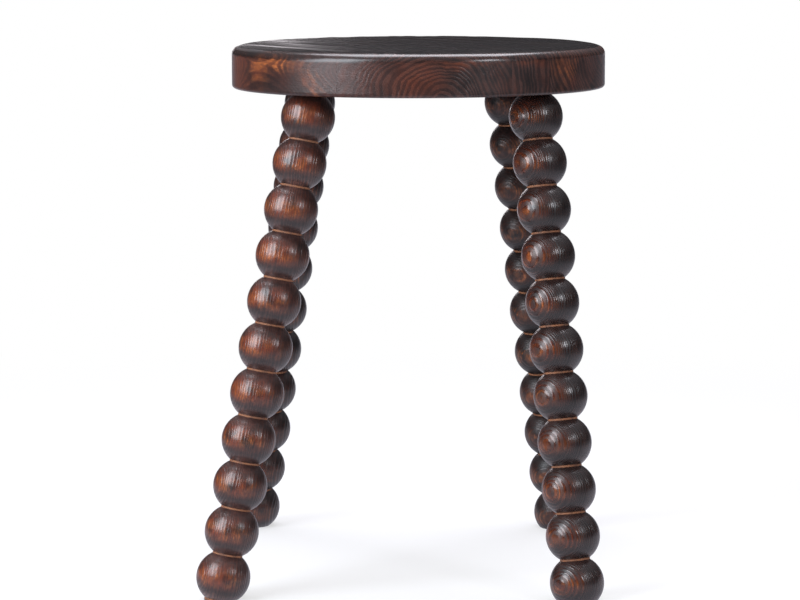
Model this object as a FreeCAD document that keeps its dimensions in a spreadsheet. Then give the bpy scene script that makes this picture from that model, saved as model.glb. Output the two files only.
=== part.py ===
import FreeCAD
import Part
import Sketcher
import math
import os

# A round stool: a thick seat glued up from five boards, on four splayed legs turned as strings of beads.
# Millimetres and degrees, +Z up, front towards -Y. The origin is on the floor, in the middle of the
# space that the stool takes up, so the seat's axis stands a little to one side of it.

# The legs stand in these corners. Each one was bored and leans a little differently, as on a hand-made stool.
LEGS = ("front_left", "front_right", "back_left", "back_right")

DRIVING_SIZES = {
    # The whole stool
    "stool_height": 454,
    "seat_shift_x": 13,
    "seat_shift_y": -4,
    # The seat disc, its crowned upper edge and its eased lower edge
    "seat_diameter": 320,
    "seat_thickness": 37.5,
    "edge_radius": 6.5,
    "crown_run": 11,
    "crown_drop": 2.1,
    "lower_edge_radius": 3,
    # The boards of the seat: a strip in the middle, a strip at each rim and a wide board between them
    "grain_angle": 35,
    "centre_strip_width": 39,
    "rim_strip_width": 21.5,
    # The beads of a leg, and the narrow necks between them
    "bead_diameter": 45,
    "bead_pitch": 38.8,
    "neck_diameter": 25,
    "neck_band_width": 1.4,
    "collar_rise": 0.65,
    # The blind mortise and its tenon, fox-wedged
    "mortise_inset": 32.4,
    "mortise_cover": 8,
    "tenon_diameter": 22,
    "tenon_chamfer": 1.5,
    "tenon_root": 10,
    "tenon_end_gap": 1,
    "wedge_length": 16,
    "wedge_side_gap": 1,
    "wedge_thin_end": 1.5,
    "wedge_thick_end": 3.5,
    # The dowels across the two middle seams
    "dowel_diameter": 8,
    "dowel_length": 30,
    "dowel_chamfer": 1,
    "dowel_spacing": 65,
    "dowel_end_gap": 0.5,
    # Fits and cuts
    "glue_gap": 0.1,
    "cut_overrun": 6,
    # Where each mortise is bored round the seat, which way its leg leans and how far from upright
    "front_left_bore_angle": 226.1,
    "front_left_lean_angle": 211.8,
    "front_left_splay_angle": 12.53,
    "front_right_bore_angle": 318.3,
    "front_right_lean_angle": 298.5,
    "front_right_splay_angle": 10.16,
    "back_left_bore_angle": 137.0,
    "back_left_lean_angle": 130.1,
    "back_left_splay_angle": 12.73,
    "back_right_bore_angle": 51.3,
    "back_right_lean_angle": 42.7,
    "back_right_splay_angle": 9.66,
}

# How many seat diameters wide the room is that the legs are trimmed to
ZONE_SHARE = 3

doc = FreeCAD.newDocument("Stool")


def make_sheet():
    """Write each driving size as a plain number beside its name, with the name as its alias."""
    sheet = doc.addObject("Spreadsheet::Sheet", "sizes")
    for row, (name, value) in enumerate(DRIVING_SIZES.items(), start=1):
        sheet.set(f"A{row}", name)
        sheet.set(f"B{row}", str(value))
        sheet.setAlias(f"B{row}", name)
    doc.recompute()
    return sheet


sheet = make_sheet()

# Expressions that several pieces share
SEAT_RADIUS = "sizes.seat_diameter / 2"
UNDERSIDE = "(sizes.stool_height - sizes.seat_thickness)"
BOARD_WIDTH = "((sizes.seat_diameter - sizes.centre_strip_width) / 2 - sizes.rim_strip_width)"


def at(x="0", y="0", z="0", turn="rotation(0; 0; 0)"):
    """The expression of a placement, from the expressions of its position and its turn."""
    return f"placement(vector({x}; {y}; {z}); {turn})"


def seat_frame():
    """The middle of the seat's underside, with X across the boards and Y along their grain."""
    return at("sizes.seat_shift_x", "sizes.seat_shift_y", UNDERSIDE, "rotation(sizes.grain_angle; 0; 0)")


def leg_frame(leg):
    """The middle of a leg's mortise in the seat's underside, with Z up along the leg's axis."""
    reach = f"({SEAT_RADIUS} - sizes.mortise_inset)"
    x = f"sizes.seat_shift_x + {reach} * cos(sizes.{leg}_bore_angle)"
    y = f"sizes.seat_shift_y + {reach} * sin(sizes.{leg}_bore_angle)"
    return at(x, y, UNDERSIDE, f"rotation(sizes.{leg}_lean_angle; -sizes.{leg}_splay_angle; 0)")


def mortise_depth(leg):
    """How deep a leg's mortise runs along its slanted axis, under the wood left above it."""
    splay = f"sizes.{leg}_splay_angle"
    straight = f"(sizes.seat_thickness - sizes.mortise_cover) / cos({splay})"
    slant = f"(sizes.tenon_diameter / 2 + sizes.glue_gap) * tan({splay})"
    return f"({straight} - {slant})"


def make(kind, name, **expressions):
    """A document object whose properties follow the given expressions."""
    made = doc.addObject(kind, name)
    for prop, expression in expressions.items():
        made.setExpression(prop, expression)
    return made


def combine(kind, name, base, tool):
    """The cut, fuse or common of two objects."""
    made = doc.addObject(kind, name)
    made.Base = base
    made.Tool = tool
    return made


def origin_plane(body, role):
    """One of a body's own origin planes or axes."""
    return next(item for item in body.Origin.OriginFeatures if item.Role == role)


def profile_sketch(body, name):
    """A sketch on the body's XZ plane, where the upright axis is the axis of revolution."""
    sketch = body.newObject("Sketcher::SketchObject", name)
    sketch.AttachmentSupport = [(origin_plane(body, "XZ_Plane"), "")]
    sketch.MapMode = "FlatFace"
    return sketch


def revolve(body, name, sketch):
    """Turn a half profile round the upright axis of its sketch."""
    turned = body.newObject("PartDesign::Revolution", name)
    turned.Profile = sketch
    turned.ReferenceAxis = (sketch, ["V_Axis"])
    turned.Angle = 360
    sketch.Visibility = False
    return turned


def dimension(sketch, name, kind, geometry, expression):
    """A driving dimension of a sketch, bound to the sheet."""
    number = sketch.addConstraint(Sketcher.Constraint(kind, *geometry))
    sketch.renameConstraint(number, name)
    sketch.setExpression(f"Constraints.{name}", expression)


def constrain(sketch, rows):
    for kind, *geometry in rows:
        sketch.addConstraint(Sketcher.Constraint(kind, *geometry))


# In a sketch's constraints, a point is the number of a line and which end of it, counted from one. The
# sketch's own axes count down from minus one, and the start of its first axis is its origin.
START, END = range(1, 3)
LEVEL_AXIS, UPRIGHT_AXIS = range(-1, -3, -1)
ORIGIN = (LEVEL_AXIS, START)


def segment(x1, y1, x2, y2):
    return Part.LineSegment(FreeCAD.Vector(x1, y1, 0), FreeCAD.Vector(x2, y2, 0))


def arc(x, y, radius, start, end):
    """An arc round the point x, y, anticlockwise between two angles in radians."""
    circle = Part.Circle(FreeCAD.Vector(x, y, 0), FreeCAD.Vector(0, 0, 1), radius)
    return Part.ArcOfCircle(circle, start, end)


def make_seat_blank():
    """The seat as one disc: flat on top, falling in a long crown to a rounded edge."""
    radius = sheet.seat_diameter / 2
    top = sheet.seat_thickness
    low = sheet.lower_edge_radius
    round_radius = sheet.edge_radius
    turn_in = round_radius + sheet.crown_run
    fall = round_radius + sheet.crown_drop
    # The crown is a long arc from the flat top, and turns through this angle before the rounded edge
    crown_turn = 2 * math.atan2(sheet.crown_drop, sheet.crown_run)
    crown_radius = round_radius + sheet.crown_run / math.sin(crown_turn)
    quarter = math.pi / 2
    body = doc.addObject("PartDesign::Body", "seat_blank")
    sketch = profile_sketch(body, "seat_profile")
    bottom, ease, rim, edge, crown, face, middle = sketch.addGeometry(
        [
            segment(0, 0, radius - low, 0),
            arc(radius - low, low, low, -quarter, 0),
            segment(radius, low, radius, top - fall),
            arc(radius - round_radius, top - fall, round_radius, 0, quarter - crown_turn),
            arc(radius - turn_in, top - crown_radius, crown_radius, quarter - crown_turn, quarter),
            segment(radius - turn_in, top, 0, top),
            segment(0, top, 0, 0),
        ]
    )
    constrain(
        sketch,
        [
            ("Tangent", bottom, END, ease, START),
            ("Tangent", ease, END, rim, START),
            ("Tangent", rim, END, edge, START),
            ("Tangent", edge, END, crown, START),
            ("Tangent", crown, END, face, START),
            ("Coincident", face, END, middle, START),
            ("Coincident", middle, END, bottom, START),
            ("Coincident", bottom, START, *ORIGIN),
            ("Horizontal", bottom),
            ("Vertical", rim),
            ("Horizontal", face),
            ("Vertical", middle),
        ],
    )
    dimension(sketch, "radius", "DistanceX", (*ORIGIN, rim, START, radius), SEAT_RADIUS)
    dimension(sketch, "thickness", "DistanceY", (*ORIGIN, face, END, top), "sizes.seat_thickness")
    dimension(sketch, "low_edge", "Radius", (ease, low), "sizes.lower_edge_radius")
    dimension(sketch, "edge_round", "Radius", (edge, round_radius), "sizes.edge_radius")
    drop = "sizes.edge_radius + sizes.crown_drop"
    dimension(sketch, "fall", "DistanceY", (rim, END, face, START, fall), drop)
    run = "sizes.edge_radius + sizes.crown_run"
    dimension(sketch, "run", "DistanceX", (face, START, rim, END, turn_in), run)
    revolve(body, "seat_disc", sketch)
    body.setExpression("Placement", at("sizes.seat_shift_x", "sizes.seat_shift_y", UNDERSIDE))
    return body


def round_pin(name, diameter, length, chamfer, placement):
    """A round pin along its own Z axis with chamfered ends: a tenon or a dowel."""
    body = doc.addObject("PartDesign::Body", name)
    pin = body.newObject("PartDesign::AdditiveCylinder", f"{name}_stem")
    pin.setExpression("Radius", f"({diameter}) / 2")
    pin.setExpression("Height", length)
    doc.recompute()
    rims = [
        f"Edge{number}"
        for number, edge in enumerate(pin.Shape.Edges, start=1)
        if isinstance(edge.Curve, Part.Circle)
    ]
    eased = body.newObject("PartDesign::Chamfer", f"{name}_ends")
    eased.Base = (pin, rims)
    eased.setExpression("Size", chamfer)
    body.setExpression("Placement", placement)
    return body


def make_turning(leg):
    """One leg's string of whole beads, and the core that shows above and below them."""
    half_pitch = sheet.bead_pitch / 2
    half_bead = (sheet.bead_pitch - sheet.neck_band_width) / 2
    bead = sheet.bead_diameter / 2
    neck = sheet.neck_diameter / 2
    radius = (half_bead**2 + (bead - neck) ** 2) / (2 * (bead - neck))
    spread = math.atan2(half_bead, neck - (bead - radius))
    body = doc.addObject("PartDesign::Body", f"{leg}_turning")
    sketch = profile_sketch(body, f"{leg}_bead_profile")
    floor_side, low_band, curve, high_band, seat_side, middle = sketch.addGeometry(
        [
            segment(0, -half_pitch, neck, -half_pitch),
            segment(neck, -half_pitch, neck, -half_bead),
            arc(bead - radius, 0, radius, -spread, spread),
            segment(neck, half_bead, neck, half_pitch),
            segment(neck, half_pitch, 0, half_pitch),
            segment(0, half_pitch, 0, -half_pitch),
        ]
    )
    constrain(
        sketch,
        [
            ("Coincident", floor_side, END, low_band, START),
            ("Coincident", low_band, END, curve, START),
            ("Coincident", curve, END, high_band, START),
            ("Coincident", high_band, END, seat_side, START),
            ("Coincident", seat_side, END, middle, START),
            ("Coincident", middle, END, floor_side, START),
            ("Horizontal", floor_side),
            ("Vertical", low_band),
            ("Vertical", high_band),
            ("Horizontal", seat_side),
            ("PointOnObject", middle, START, UPRIGHT_AXIS),
            ("PointOnObject", middle, END, UPRIGHT_AXIS),
        ],
    )
    half_bead_length = "(sizes.bead_pitch - sizes.neck_band_width) / 2"
    bulge = "(sizes.bead_diameter - sizes.neck_diameter) / 2"
    curve_radius = f"(({half_bead_length}) ^ 2 + ({bulge}) ^ 2) / (2 * ({bulge}))"
    neck_radius = "sizes.neck_diameter / 2"
    half_pitch_length = "sizes.bead_pitch / 2"
    dimension(sketch, "low_half", "DistanceY", (floor_side, START, *ORIGIN, half_pitch), half_pitch_length)
    dimension(sketch, "high_half", "DistanceY", (*ORIGIN, seat_side, END, half_pitch), half_pitch_length)
    dimension(sketch, "low_neck", "DistanceX", (*ORIGIN, floor_side, END, neck), neck_radius)
    dimension(sketch, "high_neck", "DistanceX", (*ORIGIN, seat_side, START, neck), neck_radius)
    dimension(sketch, "low_curve", "DistanceY", (curve, START, *ORIGIN, half_bead), half_bead_length)
    dimension(sketch, "high_curve", "DistanceY", (*ORIGIN, curve, END, half_bead), half_bead_length)
    dimension(sketch, "curve_radius", "Radius", (curve, radius), curve_radius)
    turned = revolve(body, f"{leg}_bead", sketch)
    doc.recompute()
    length = f"{UNDERSIDE} / cos(sizes.{leg}_splay_angle)"
    beads = f"round(({length} - sizes.collar_rise) / sizes.bead_pitch)"
    string = body.newObject("PartDesign::LinearPattern", f"{leg}_beads")
    string.Originals = [turned]
    string.Direction = (sketch, ["V_Axis"])
    string.Reversed = True
    string.setExpression("Occurrences", beads)
    string.setExpression("Length", f"({beads} - 1) * sizes.bead_pitch")
    body.Tip = string
    doc.recompute()
    first_bead = "(sizes.bead_pitch / 2 + sizes.collar_rise)"
    core = body.newObject("PartDesign::AdditiveCylinder", f"{leg}_core")
    core.setExpression("Radius", "sizes.neck_diameter / 2")
    core.setExpression("Height", f"{length} + 2 * sizes.cut_overrun")
    core.setExpression("Placement", at(z=f"{first_bead} - {length} - sizes.cut_overrun"))
    body.setExpression("Placement", leg_frame(leg) + " * " + at(z=f"-{first_bead}"))
    return body


def make_legs(drills):
    """The four legs with their tenons, and the wedge in each. Adds each mortise's drill to the drills."""
    # The room between the floor and the seat, wide enough for any lean of the legs
    zone = make(
        "Part::Box",
        "leg_zone",
        Length=f"{ZONE_SHARE} * sizes.seat_diameter",
        Width=f"{ZONE_SHARE} * sizes.seat_diameter",
        Height=UNDERSIDE,
        Placement=at(f"-{ZONE_SHARE} / 2 * sizes.seat_diameter", f"-{ZONE_SHARE} / 2 * sizes.seat_diameter"),
    )
    pieces = {}
    for leg in LEGS:
        frame = leg_frame(leg)
        depth = mortise_depth(leg)
        # Across the grain of the seat, so that the wedge spreads the tenon along it
        across = f"rotation(sizes.grain_angle - sizes.{leg}_lean_angle + 90; 0; 0)"
        drills.append(
            make(
                "Part::Cylinder",
                f"{leg}_mortise",
                Radius="sizes.tenon_diameter / 2 + sizes.glue_gap",
                Height=f"sizes.cut_overrun + {depth}",
                Placement=frame + " * " + at(z="-sizes.cut_overrun"),
            )
        )
        trimmed = combine("Part::Common", f"{leg}_trimmed", make_turning(leg), zone)
        tenon = round_pin(
            f"{leg}_tenon",
            "sizes.tenon_diameter",
            f"sizes.tenon_root + {depth} - sizes.tenon_end_gap",
            "sizes.tenon_chamfer",
            frame + " * " + at(z="-sizes.tenon_root"),
        )
        whole = combine("Part::Fuse", f"{leg}_whole", trimmed, tenon)
        thin_end = f"{depth} - sizes.glue_gap - sizes.wedge_length"
        lying = frame + " * " + at(turn=across) + " * " + at(z=thin_end, turn="rotation(0; 0; 90)")
        wedge_width = "sizes.tenon_diameter - 2 * sizes.wedge_side_gap"
        kerf = make_wedge(f"{leg}_kerf", "sizes.glue_gap", "sizes.tenon_diameter + sizes.cut_overrun", lying)
        pieces[f"{leg}_leg"] = combine("Part::Cut", f"{leg}_leg", whole, kerf)
        pieces[f"{leg}_wedge"] = make_wedge(f"{leg}_wedge", "0", wedge_width, lying)
    return pieces


def make_wedge(name, gap, width, placement):
    """A wedge along its own Y axis from the thin end, or the kerf it fills, its sides moved out by a gap."""
    thin = f"sizes.wedge_thin_end / 2 + {gap}"
    thick = f"sizes.wedge_thick_end / 2 + {gap}"
    return make(
        "Part::Wedge",
        name,
        Xmin=f"-({thin})",
        Xmax=thin,
        X2min=f"-({thick})",
        X2max=thick,
        Ymin="0",
        Ymax="sizes.wedge_length",
        Zmin=f"-({width}) / 2",
        Zmax=f"({width}) / 2",
        Z2min=f"-({width}) / 2",
        Z2max=f"({width}) / 2",
        Placement=placement,
    )


def make_dowels(drills):
    """The six dowels of the two middle seams, as one group. Adds each one's drill to the drills."""
    dowels = []
    # The two seams take their dowels a half spacing out of step, so that none meet inside the strip
    for side, seam in (("left", -1), ("right", 1)):
        for place in (-1, 0, 1):
            along = f"({place} - {seam} / 4) * sizes.dowel_spacing"
            middle = f"{seam} * sizes.centre_strip_width / 2"
            name = f"{side}_dowel_{place + 2}"
            high = "sizes.seat_thickness / 2"
            start = f"{middle} - sizes.dowel_length / 2"
            turn = "rotation(0; 90; 0)"
            dowels.append(
                round_pin(
                    name,
                    "sizes.dowel_diameter",
                    "sizes.dowel_length",
                    "sizes.dowel_chamfer",
                    seat_frame() + " * " + at(start, along, high, turn),
                )
            )
            drills.append(
                make(
                    "Part::Cylinder",
                    f"{name}_hole",
                    Radius="sizes.dowel_diameter / 2 + sizes.glue_gap",
                    Height="sizes.dowel_length + 2 * sizes.dowel_end_gap",
                    Placement=seat_frame() + " * " + at(f"{start} - sizes.dowel_end_gap", along, high, turn),
                )
            )
    group = doc.addObject("Part::Compound", "seam_dowels")
    group.Links = dowels
    return group


def make_boards(drills):
    """The seat's five boards: the disc parted at the seams, with the mortises and dowel holes bored."""
    blank = make_seat_blank()
    boring = doc.addObject("Part::Compound", "boring")
    boring.Links = drills
    strip = "sizes.centre_strip_width"
    rim = "sizes.rim_strip_width"
    half = f"{strip} / 2"
    outer = f"{rim} + sizes.cut_overrun"
    # Each board's name, where it starts across the grain and how wide it is
    rows = (
        ("seat_left_rim_strip", f"-{half} - {BOARD_WIDTH} - ({outer})", outer),
        ("seat_left_board", f"-{half} - {BOARD_WIDTH}", BOARD_WIDTH),
        ("seat_centre_strip", f"-{half}", strip),
        ("seat_right_board", half, BOARD_WIDTH),
        ("seat_right_rim_strip", f"{half} + {BOARD_WIDTH}", outer),
    )
    pieces = {}
    for name, start, width in rows:
        slab = make(
            "Part::Box",
            f"{name}_slab",
            Length=width,
            Width="sizes.seat_diameter + 2 * sizes.cut_overrun",
            Height="sizes.seat_thickness + 2 * sizes.cut_overrun",
            Placement=seat_frame()
            + " * "
            + at(start, f"-({SEAT_RADIUS}) - sizes.cut_overrun", "-sizes.cut_overrun"),
        )
        sawn = combine("Part::Common", f"{name}_sawn", blank, slab)
        pieces[name] = combine("Part::Cut", name, sawn, boring)
    return pieces


def main():
    drills = []
    pieces = make_legs(drills)
    pieces["seam_dowels"] = make_dowels(drills)
    pieces.update(make_boards(drills))
    for name, piece in pieces.items():
        piece.Label = name
    doc.recompute()
    for item in doc.Objects:
        if {"Invalid", "Error"} & set(item.State):
            raise RuntimeError(f"{item.Name} failed: {item.State}")
    for name, piece in pieces.items():
        if piece.Shape.isNull() or not piece.Shape.isValid() or not piece.Shape.Solids:
            raise RuntimeError(f"{name} has no valid solid")
    os.makedirs("parts", exist_ok=True)
    for name, piece in pieces.items():
        piece.Shape.exportStep(f"parts/{name}.step")
        box = piece.Shape.BoundBox
        size = " x ".join(f"{side:.1f}" for side in (box.XLength, box.YLength, box.ZLength))
        print(f"{name}: {len(piece.Shape.Solids)} solid, {piece.Shape.Volume / 1000:.1f} cm3, {size}")


main()
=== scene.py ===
"""The looks of a round wooden stool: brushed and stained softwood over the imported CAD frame.

Metres, +Z up, the front towards -Y. The frame's origin is on the floor, in the middle of the stool's box.
"""

import math

import bmesh
import bpy
from mathutils import Euler, Matrix, Vector


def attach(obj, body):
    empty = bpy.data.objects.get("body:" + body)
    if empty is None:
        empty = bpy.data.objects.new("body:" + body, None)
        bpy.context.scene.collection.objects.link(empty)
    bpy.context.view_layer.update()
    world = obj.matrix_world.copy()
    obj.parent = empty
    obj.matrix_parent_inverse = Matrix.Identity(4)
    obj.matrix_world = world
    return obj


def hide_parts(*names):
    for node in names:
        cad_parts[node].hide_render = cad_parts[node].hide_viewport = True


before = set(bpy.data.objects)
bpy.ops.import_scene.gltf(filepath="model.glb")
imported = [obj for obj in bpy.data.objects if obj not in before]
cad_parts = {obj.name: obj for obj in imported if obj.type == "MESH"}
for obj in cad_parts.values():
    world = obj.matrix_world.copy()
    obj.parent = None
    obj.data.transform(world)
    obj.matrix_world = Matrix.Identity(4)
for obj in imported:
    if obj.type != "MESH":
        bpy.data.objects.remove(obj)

bl_info = {
    "name": "Bobbin Leg Stool",
    "version": (1, 0, 0),
    "blender": (4, 5, 0),
    "location": "View3D > Sidebar > Stool",
    "description": "Makes the brushed and stained wood of a round stool with bobbin-turned legs",
    "category": "Object",
}

MM = 0.001

# Points nearer than this are one, in metres
TOUCH = 0.00001

# Edges that turn by more than this are shown sharp
SHARP_TURN = math.radians(38)

LEG_ROUND = (184, 72)
BEAD_STEPS = (42, 18)
SEAT_ROUND = (1560, 480)
RIM_STEP = (0.0008, 0.0015)

# Steps down a leg's foot, round the seat's lower edge, round its upper edge and over its crown, and the
# sides of a tenon
FOOT_STEPS = 24
LOWER_EDGE_STEPS = 8
UPPER_EDGE_STEPS = 12
CROWN_STEPS = 14
TENON_SIDES = 64

TOP_STRIPS = (0.001, 0.014)
UNDERSIDE_STRIPS = (0.003, 0.03)
NARROWEST_STRIP = 0.0002

# How far a leg's profile reaches past the floor and the seat's underside before it is trimmed, in metres
OVERRUN = 0.012

# How far below its mortise a leg's pith is at the distance given for it, in metres
PITH_DEPTH = 0.08

# The closest rings that the legs' mesh can carry, in millimetres
CLOSEST_RINGS = 2.3

# How deep the boards with plain ends are brushed, against the others
PLAIN_BOARD_RELIEF = 0.25

# How wide and how long the hollows are that the top is scraped in, in millimetres
SCRAPE_WIDTH = 15
SCRAPE_LENGTH = 190

# How straight up a face of a board looks, from 0 to 1, when it belongs to the top
FACING_UP = 0.93

# The brushing of a piece that has no top: its face would be higher than anything, in metres
NO_TOP = {"Scraping": 0.0, "Edge Wear": 0.0, "Rim Radius": 0.0, "Top Height": 0.0, "Face Height": 10.0}

# The way that the most worn part of the upper edge faces, in the seat's own frame, in radians
WORN_WAY = math.radians(-165.0)

# The way to the end of the seat that lies at the left in the photo, in the seat's own frame
LEFT_END_WAY = (-0.866, 0.5, 0.0)

# Each leg: where its mortise is round the seat, which way it leans and how far from upright, in degrees
LEGS = {
    "front_left": (226.1, 211.8, 12.53),
    "front_right": (318.3, 298.5, 10.16),
    "back_left": (137.0, 130.1, 12.73),
    "back_right": (51.3, 42.7, 9.66),
}

# The log that each leg was cut from, in degrees and millimetres: the way to its pith, how far off that is,
# the tilt of the pith against the leg, the ring spacing, a seed and how far the rings sway. Then how deep
# the fine brush marks are, how much the fibres show in them, how rough the ridges are, how much duller the
# hollows are and how strong the wax's shine is
LEG_LOGS = {
    "front_left": dict(
        pith_way=196.0, pith_off=95.0, tilt=1.2, ring=2.2, seed=3.0, sway=6.0,
        marks=0.18, grain=0.7, rough=0.28, dull=0.1, gloss=0.8,
    ),
    "front_right": dict(
        pith_way=36.0, pith_off=80.0, tilt=3.4, ring=1.5, seed=11.0, sway=5.0,
        marks=0.13, grain=0.15, rough=0.21, dull=0.2, gloss=0.8,
    ),
    "back_left": dict(
        pith_way=186.0, pith_off=90.0, tilt=-1.0, ring=2.0, seed=23.0, sway=6.0,
        marks=0.2, grain=0.6, rough=0.29, dull=0.1, gloss=0.75,
    ),
    "back_right": dict(
        pith_way=52.0, pith_off=85.0, tilt=3.5, ring=1.5, seed=37.0, sway=4.0,
        marks=0.1, grain=0.15, rough=0.34, dull=0.15, gloss=0.6,
    ),
}

# How deep each leg's stain is, how much it is worn to red-brown and to orange, the way in degrees that its
# most worn side faces, how worn the far side is and how closely the wear keeps to the rings
LEG_WEAR = {
    "front_left": dict(tone=1.2, warm=1.1, orange=1.0, way=250.0, all_round=0.2, ringed=0.3),
    "front_right": dict(tone=0.54, warm=0.66, orange=0.55, way=226.0, all_round=0.1, ringed=0.5),
    "back_left": dict(tone=0.5, warm=0.6, orange=0.5, way=262.0, all_round=0.2, ringed=0.5),
    "back_right": dict(tone=0.33, warm=0.3, orange=0.65, way=232.0, all_round=0.0, ringed=0.4),
}

# Each board of the seat, in millimetres: where it starts and ends across the grain, where the pith of its
# log is (across the grain and up from the underside), the ring spacing, a seed and how far the rings sway.
# Then how deep the stain is, how rough the wax of the top is at its smoothest, and for the boards with
# plain ends up to where the rings are worn plain
BOARDS = {
    "seat_left_rim_strip": dict(
        across=(None, -138.5), pith=(-112.0, 20.0), ring=2.1, seed=5.0, sway=14.0,
        tone=1.0, top_rough=0.56, plain_to=-100.0,
    ),
    "seat_left_board": dict(
        across=(-138.5, -19.5), pith=(-76.0, -4.0), ring=3.6, seed=17.0, sway=14.0,
        tone=1.15, top_rough=0.34, plain_to=-112.0,
    ),
    "seat_centre_strip": dict(
        across=(-19.5, 19.5), pith=(-125.0, 12.0), ring=4.3, seed=29.0, sway=14.0, tone=1.3, top_rough=0.34
    ),
    "seat_right_board": dict(
        across=(19.5, 138.5), pith=(130.0, 60.0), ring=4.3, seed=41.0, sway=14.0, tone=1.4, top_rough=0.34
    ),
    "seat_right_rim_strip": dict(
        across=(138.5, None), pith=(100.0, -20.0), ring=2.3, seed=53.0, sway=14.0, tone=1.0, top_rough=0.34
    ),
}

# Where the rim's stain is rubbed: the middle and the reach of each patch in the seat's own frame, in
# millimetres, and how red-brown and how orange it is
RUBBED_PATCHES = {
    "seat_left_rim_strip": (
        ((-155, -40, 26), (60, 80, 30), 0.4, 0.0),
        ((-159, -18, 27), (34, 46, 10), 0.9, 0.95),
        ((-158, 4, 22), (34, 26, 20), 0.7, 0.35),
        ((-151, -47, 24), (30, 10, 12), 0.7, 0.4),
        ((-149, -55, 16), (30, 9, 12), 0.7, 0.4),
        ((-147, -62, 8), (30, 9, 12), 0.7, 0.4),
        ((-150, 46, 18), (46, 46, 80), 0.7, 0.1),
        ((-141, -76, 18), (30, 34, 60), 0.4, 0.0),
    ),
    "seat_left_board": (
        ((-95, -128, 16), (40, 34, 30), 0.5, 0.05),
        ((-134, -90, 18), (50, 50, 60), 0.45, 0.0),
        ((-60, -148, 29), (50, 46, 8), 0.6, 0.1),
    ),
    "seat_centre_strip": (((0, -160, 28), (30, 20, 8), 0.5, 0.08),),
    "seat_right_board": (
        ((40, -155, 25), (22, 20, 22), 0.3, 0.5),
        ((80, -138, 20), (34, 34, 20), 0.2, 0.0),
    ),
    "seat_right_rim_strip": (((152, -50, 22), (30, 30, 14), 0.4, 0.1),),
}

# The softboxes: from where to where each one hangs, how wide it is, in metres, and its colour
SOFTBOXES = {
    "left": ((-1.47, -1.07, 0.4), (-1.32, -0.97, 2.3), 1.1, (0.88, 0.93, 1.0)),
    "right": ((1.2, -1.35, 0.75), (1.2, -1.3, 1.3), 0.35, (0.92, 0.94, 1.0)),
    "overhead": ((-0.7, 0.27, 1.85), (0.8, 0.45, 1.75), 1.0, (0.93, 0.93, 1.0)),
    "window": ((-0.3, 1.7, 0.4), (-0.3, 1.7, 1.0), 0.3, (1.0, 0.93, 0.97)),
}

# Where the softboxes point, in metres
AIM = Vector((0, 0, 0.3))

# The floor's reach from its middle, in metres, and the width of the camera's sensor, in millimetres
FLOOR_REACH = 40.0
SENSOR = 36


# Settings


def length(name, description, default, **options):
    """A length in metres."""
    return bpy.props.FloatProperty(
        name=name, description=description, default=default, unit="LENGTH", **options
    )


def angle(name, description, degrees):
    """An angle, given in degrees and kept in radians."""
    return bpy.props.FloatProperty(
        name=name, description=description, default=math.radians(degrees), subtype="ANGLE"
    )


def colour(name, description, default):
    """A linear colour."""
    return bpy.props.FloatVectorProperty(
        name=name, description=description, default=default, size=3, subtype="COLOR"
    )


def position(name, description, default):
    """A point, or a shift in the plane of the floor, in metres."""
    return bpy.props.FloatVectorProperty(
        name=name, description=description, default=default, size=len(default), unit="LENGTH"
    )


def amount(name, description, default, **options):
    """A plain number."""
    return bpy.props.FloatProperty(name=name, description=description, default=default, **options)


class StoolSizes(bpy.types.PropertyGroup):
    """The sizes of the seat, and where it stands in the frame"""

    height: length("Height", "Floor to the top of the seat", 0.454)
    seat_shift: position("Seat shift", "The seat's axis in the frame", (0.013, -0.004))
    seat_radius: length("Seat radius", "Half the seat's diameter", 0.160)
    seat_thickness: length("Seat thickness", "Underside to top", 0.0375)
    edge_radius: length("Edge radius", "The rounding of the upper edge", 0.0065)
    crown_run: length("Crown run", "How far the top's crown reaches in", 0.011)
    crown_drop: length("Crown drop", "How far the top's crown falls", 0.0021)
    lower_edge_radius: length("Lower edge radius", "The easing of the lower edge", 0.003)
    grain_angle: angle("Across the grain", "The way across the seat's boards", 35)


class LegSizes(bpy.types.PropertyGroup):
    """The sizes of the turned legs"""

    bead_radius: length("Bead radius", "Half a bead's diameter", 0.0225)
    bead_pitch: length("Bead pitch", "From one bead's middle to the next", 0.0388)
    neck_radius: length("Neck radius", "Half a neck's diameter", 0.0125)
    neck_band: length("Neck band", "The flat width of a neck", 0.0014)
    collar_rise: length("Collar rise", "The neck that shows above the top bead", 0.00065)
    beads: bpy.props.IntProperty(name="Beads", description="Whole beads in a leg", default=11, min=1)
    mortise_inset: length("Mortise inset", "From the rim to a mortise's middle", 0.0324)
    tenon_radius: length("Tenon radius", "Half a tenon's diameter", 0.011)
    tenon_root: length("Tenon root", "How deep the tenon is rooted in the top bead", 0.010)
    tenon_length: length("Tenon length", "How far the tenon stands in the seat", 0.0255)
    tenon_chamfer: length("Tenon chamfer", "How far the tenon's end is bevelled", 0.0015)


class WoodFinish(bpy.types.PropertyGroup):
    """The colours of the stain and the depth of the brushing"""

    hollow: colour("Hollow", "The stain in the brushed-out soft wood", (0.0105, 0.0054, 0.0050))
    ridge: colour("Ridge", "The stain on the hard ridges", (0.037, 0.0150, 0.0108))
    warm: colour("Warm", "The red-brown where the stain is thin", (0.195, 0.0335, 0.0085))
    rubbed: colour("Rubbed", "The orange wood where the stain is rubbed through", (0.43, 0.125, 0.026))
    neck: colour("Neck", "The bare line round each neck", (0.32, 0.118, 0.042))
    bare: colour("Bare wood", "Planed hardwood of the wedges and dowels", (0.56, 0.36, 0.19))
    leg_relief: length("Leg relief", "How deep the rings are brushed on the legs", 0.00003)
    scraping: length("Scraping", "How deep the top's long hollows are scraped", 0.0004)
    edge_wear: length("Edge wear", "How far the seat's upper edge is worn back", 0.0010)
    seat_relief: length("Seat relief", "How deep the rings are brushed on the seat", 0.00007)


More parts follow.
